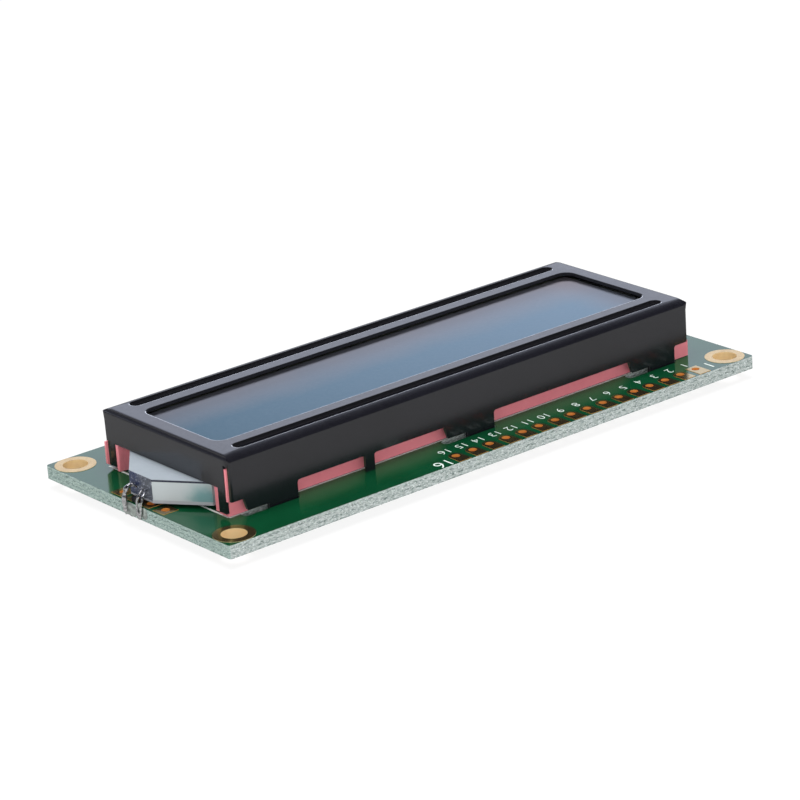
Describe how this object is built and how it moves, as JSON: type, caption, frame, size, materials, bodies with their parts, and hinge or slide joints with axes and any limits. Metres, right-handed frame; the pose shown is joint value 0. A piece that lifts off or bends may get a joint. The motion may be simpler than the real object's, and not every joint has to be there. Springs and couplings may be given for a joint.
{
  "type": "character lcd module",
  "caption": "Character display module: green circuit board with corner mounting holes and a header row, black stamped bezel with a long window, edge light guide and pink contact strips.",
  "frame": {"origin": "centre of the four corner holes, on the rear face of the board", "axes": "+X along the board towards the lamp end, +Y towards the header row, +Z out of the display face"},
  "size_m": [0.0805, 0.036, 0.0103],
  "materials": {
    "board_laminate": "glass fibre laminate under glossy deep green solder mask, rough pale cut edges",
    "gold_plating": "thin gold over copper, satin",
    "bezel_black": "stamped sheet steel with a glossy black coat",
    "polarizer_film": "smooth blue grey film",
    "cell_glass": "clear thin glass",
    "seal_resin": "cured pale resin",
    "white_film": "matt white film",
    "guide_acrylic": "milky clear acrylic",
    "foam_tape": "pale foam tape",
    "pink_elastomer": "soft pink silicone rubber",
    "lamp_resin": "dark translucent blue resin",
    "tinned_lead": "tinned copper, bright",
    "solder": "dull grey solder",
    "black_epoxy": "glossy black epoxy",
    "resistor_ceramic": "black glazed film on ceramic",
    "tinned_end": "tinned, satin",
    "capacitor_ceramic": "tan ceramic"
  },
  "bodies": {
    "root": {"circuit_board": "board_laminate", "mount_hole_plating": "gold_plating", "header_hole_plating": "gold_plating", "lamp_pad_plating": "gold_plating", "contact_fingers": "gold_plating", "bezel": "bezel_black", "front_polarizer": "polarizer_film", "front_glass": "cell_glass", "cell_seal": "seal_resin", "fill_port_plug": "seal_resin", "rear_glass": "cell_glass", "rear_polarizer": "polarizer_film", "diffuser_sheet": "white_film", "light_guide": "guide_acrylic", "nose_film": "white_film", "reflector_sheet": "white_film", "mounting_tape": "foam_tape", "header_side_strip": "pink_elastomer", "far_side_strip": "pink_elastomer", "side_lamp": "lamp_resin", "lamp_anode_lead": "tinned_lead", "lamp_cathode_lead": "tinned_lead", "lamp_solder": "solder", "controller_blob": "black_epoxy", "driver_blob": "black_epoxy", "resistor_bodies": "resistor_ceramic", "resistor_terminals": "tinned_end", "capacitor_bodies": "capacitor_ceramic", "capacitor_terminals": "tinned_end"}
  },
  "joints": []
}
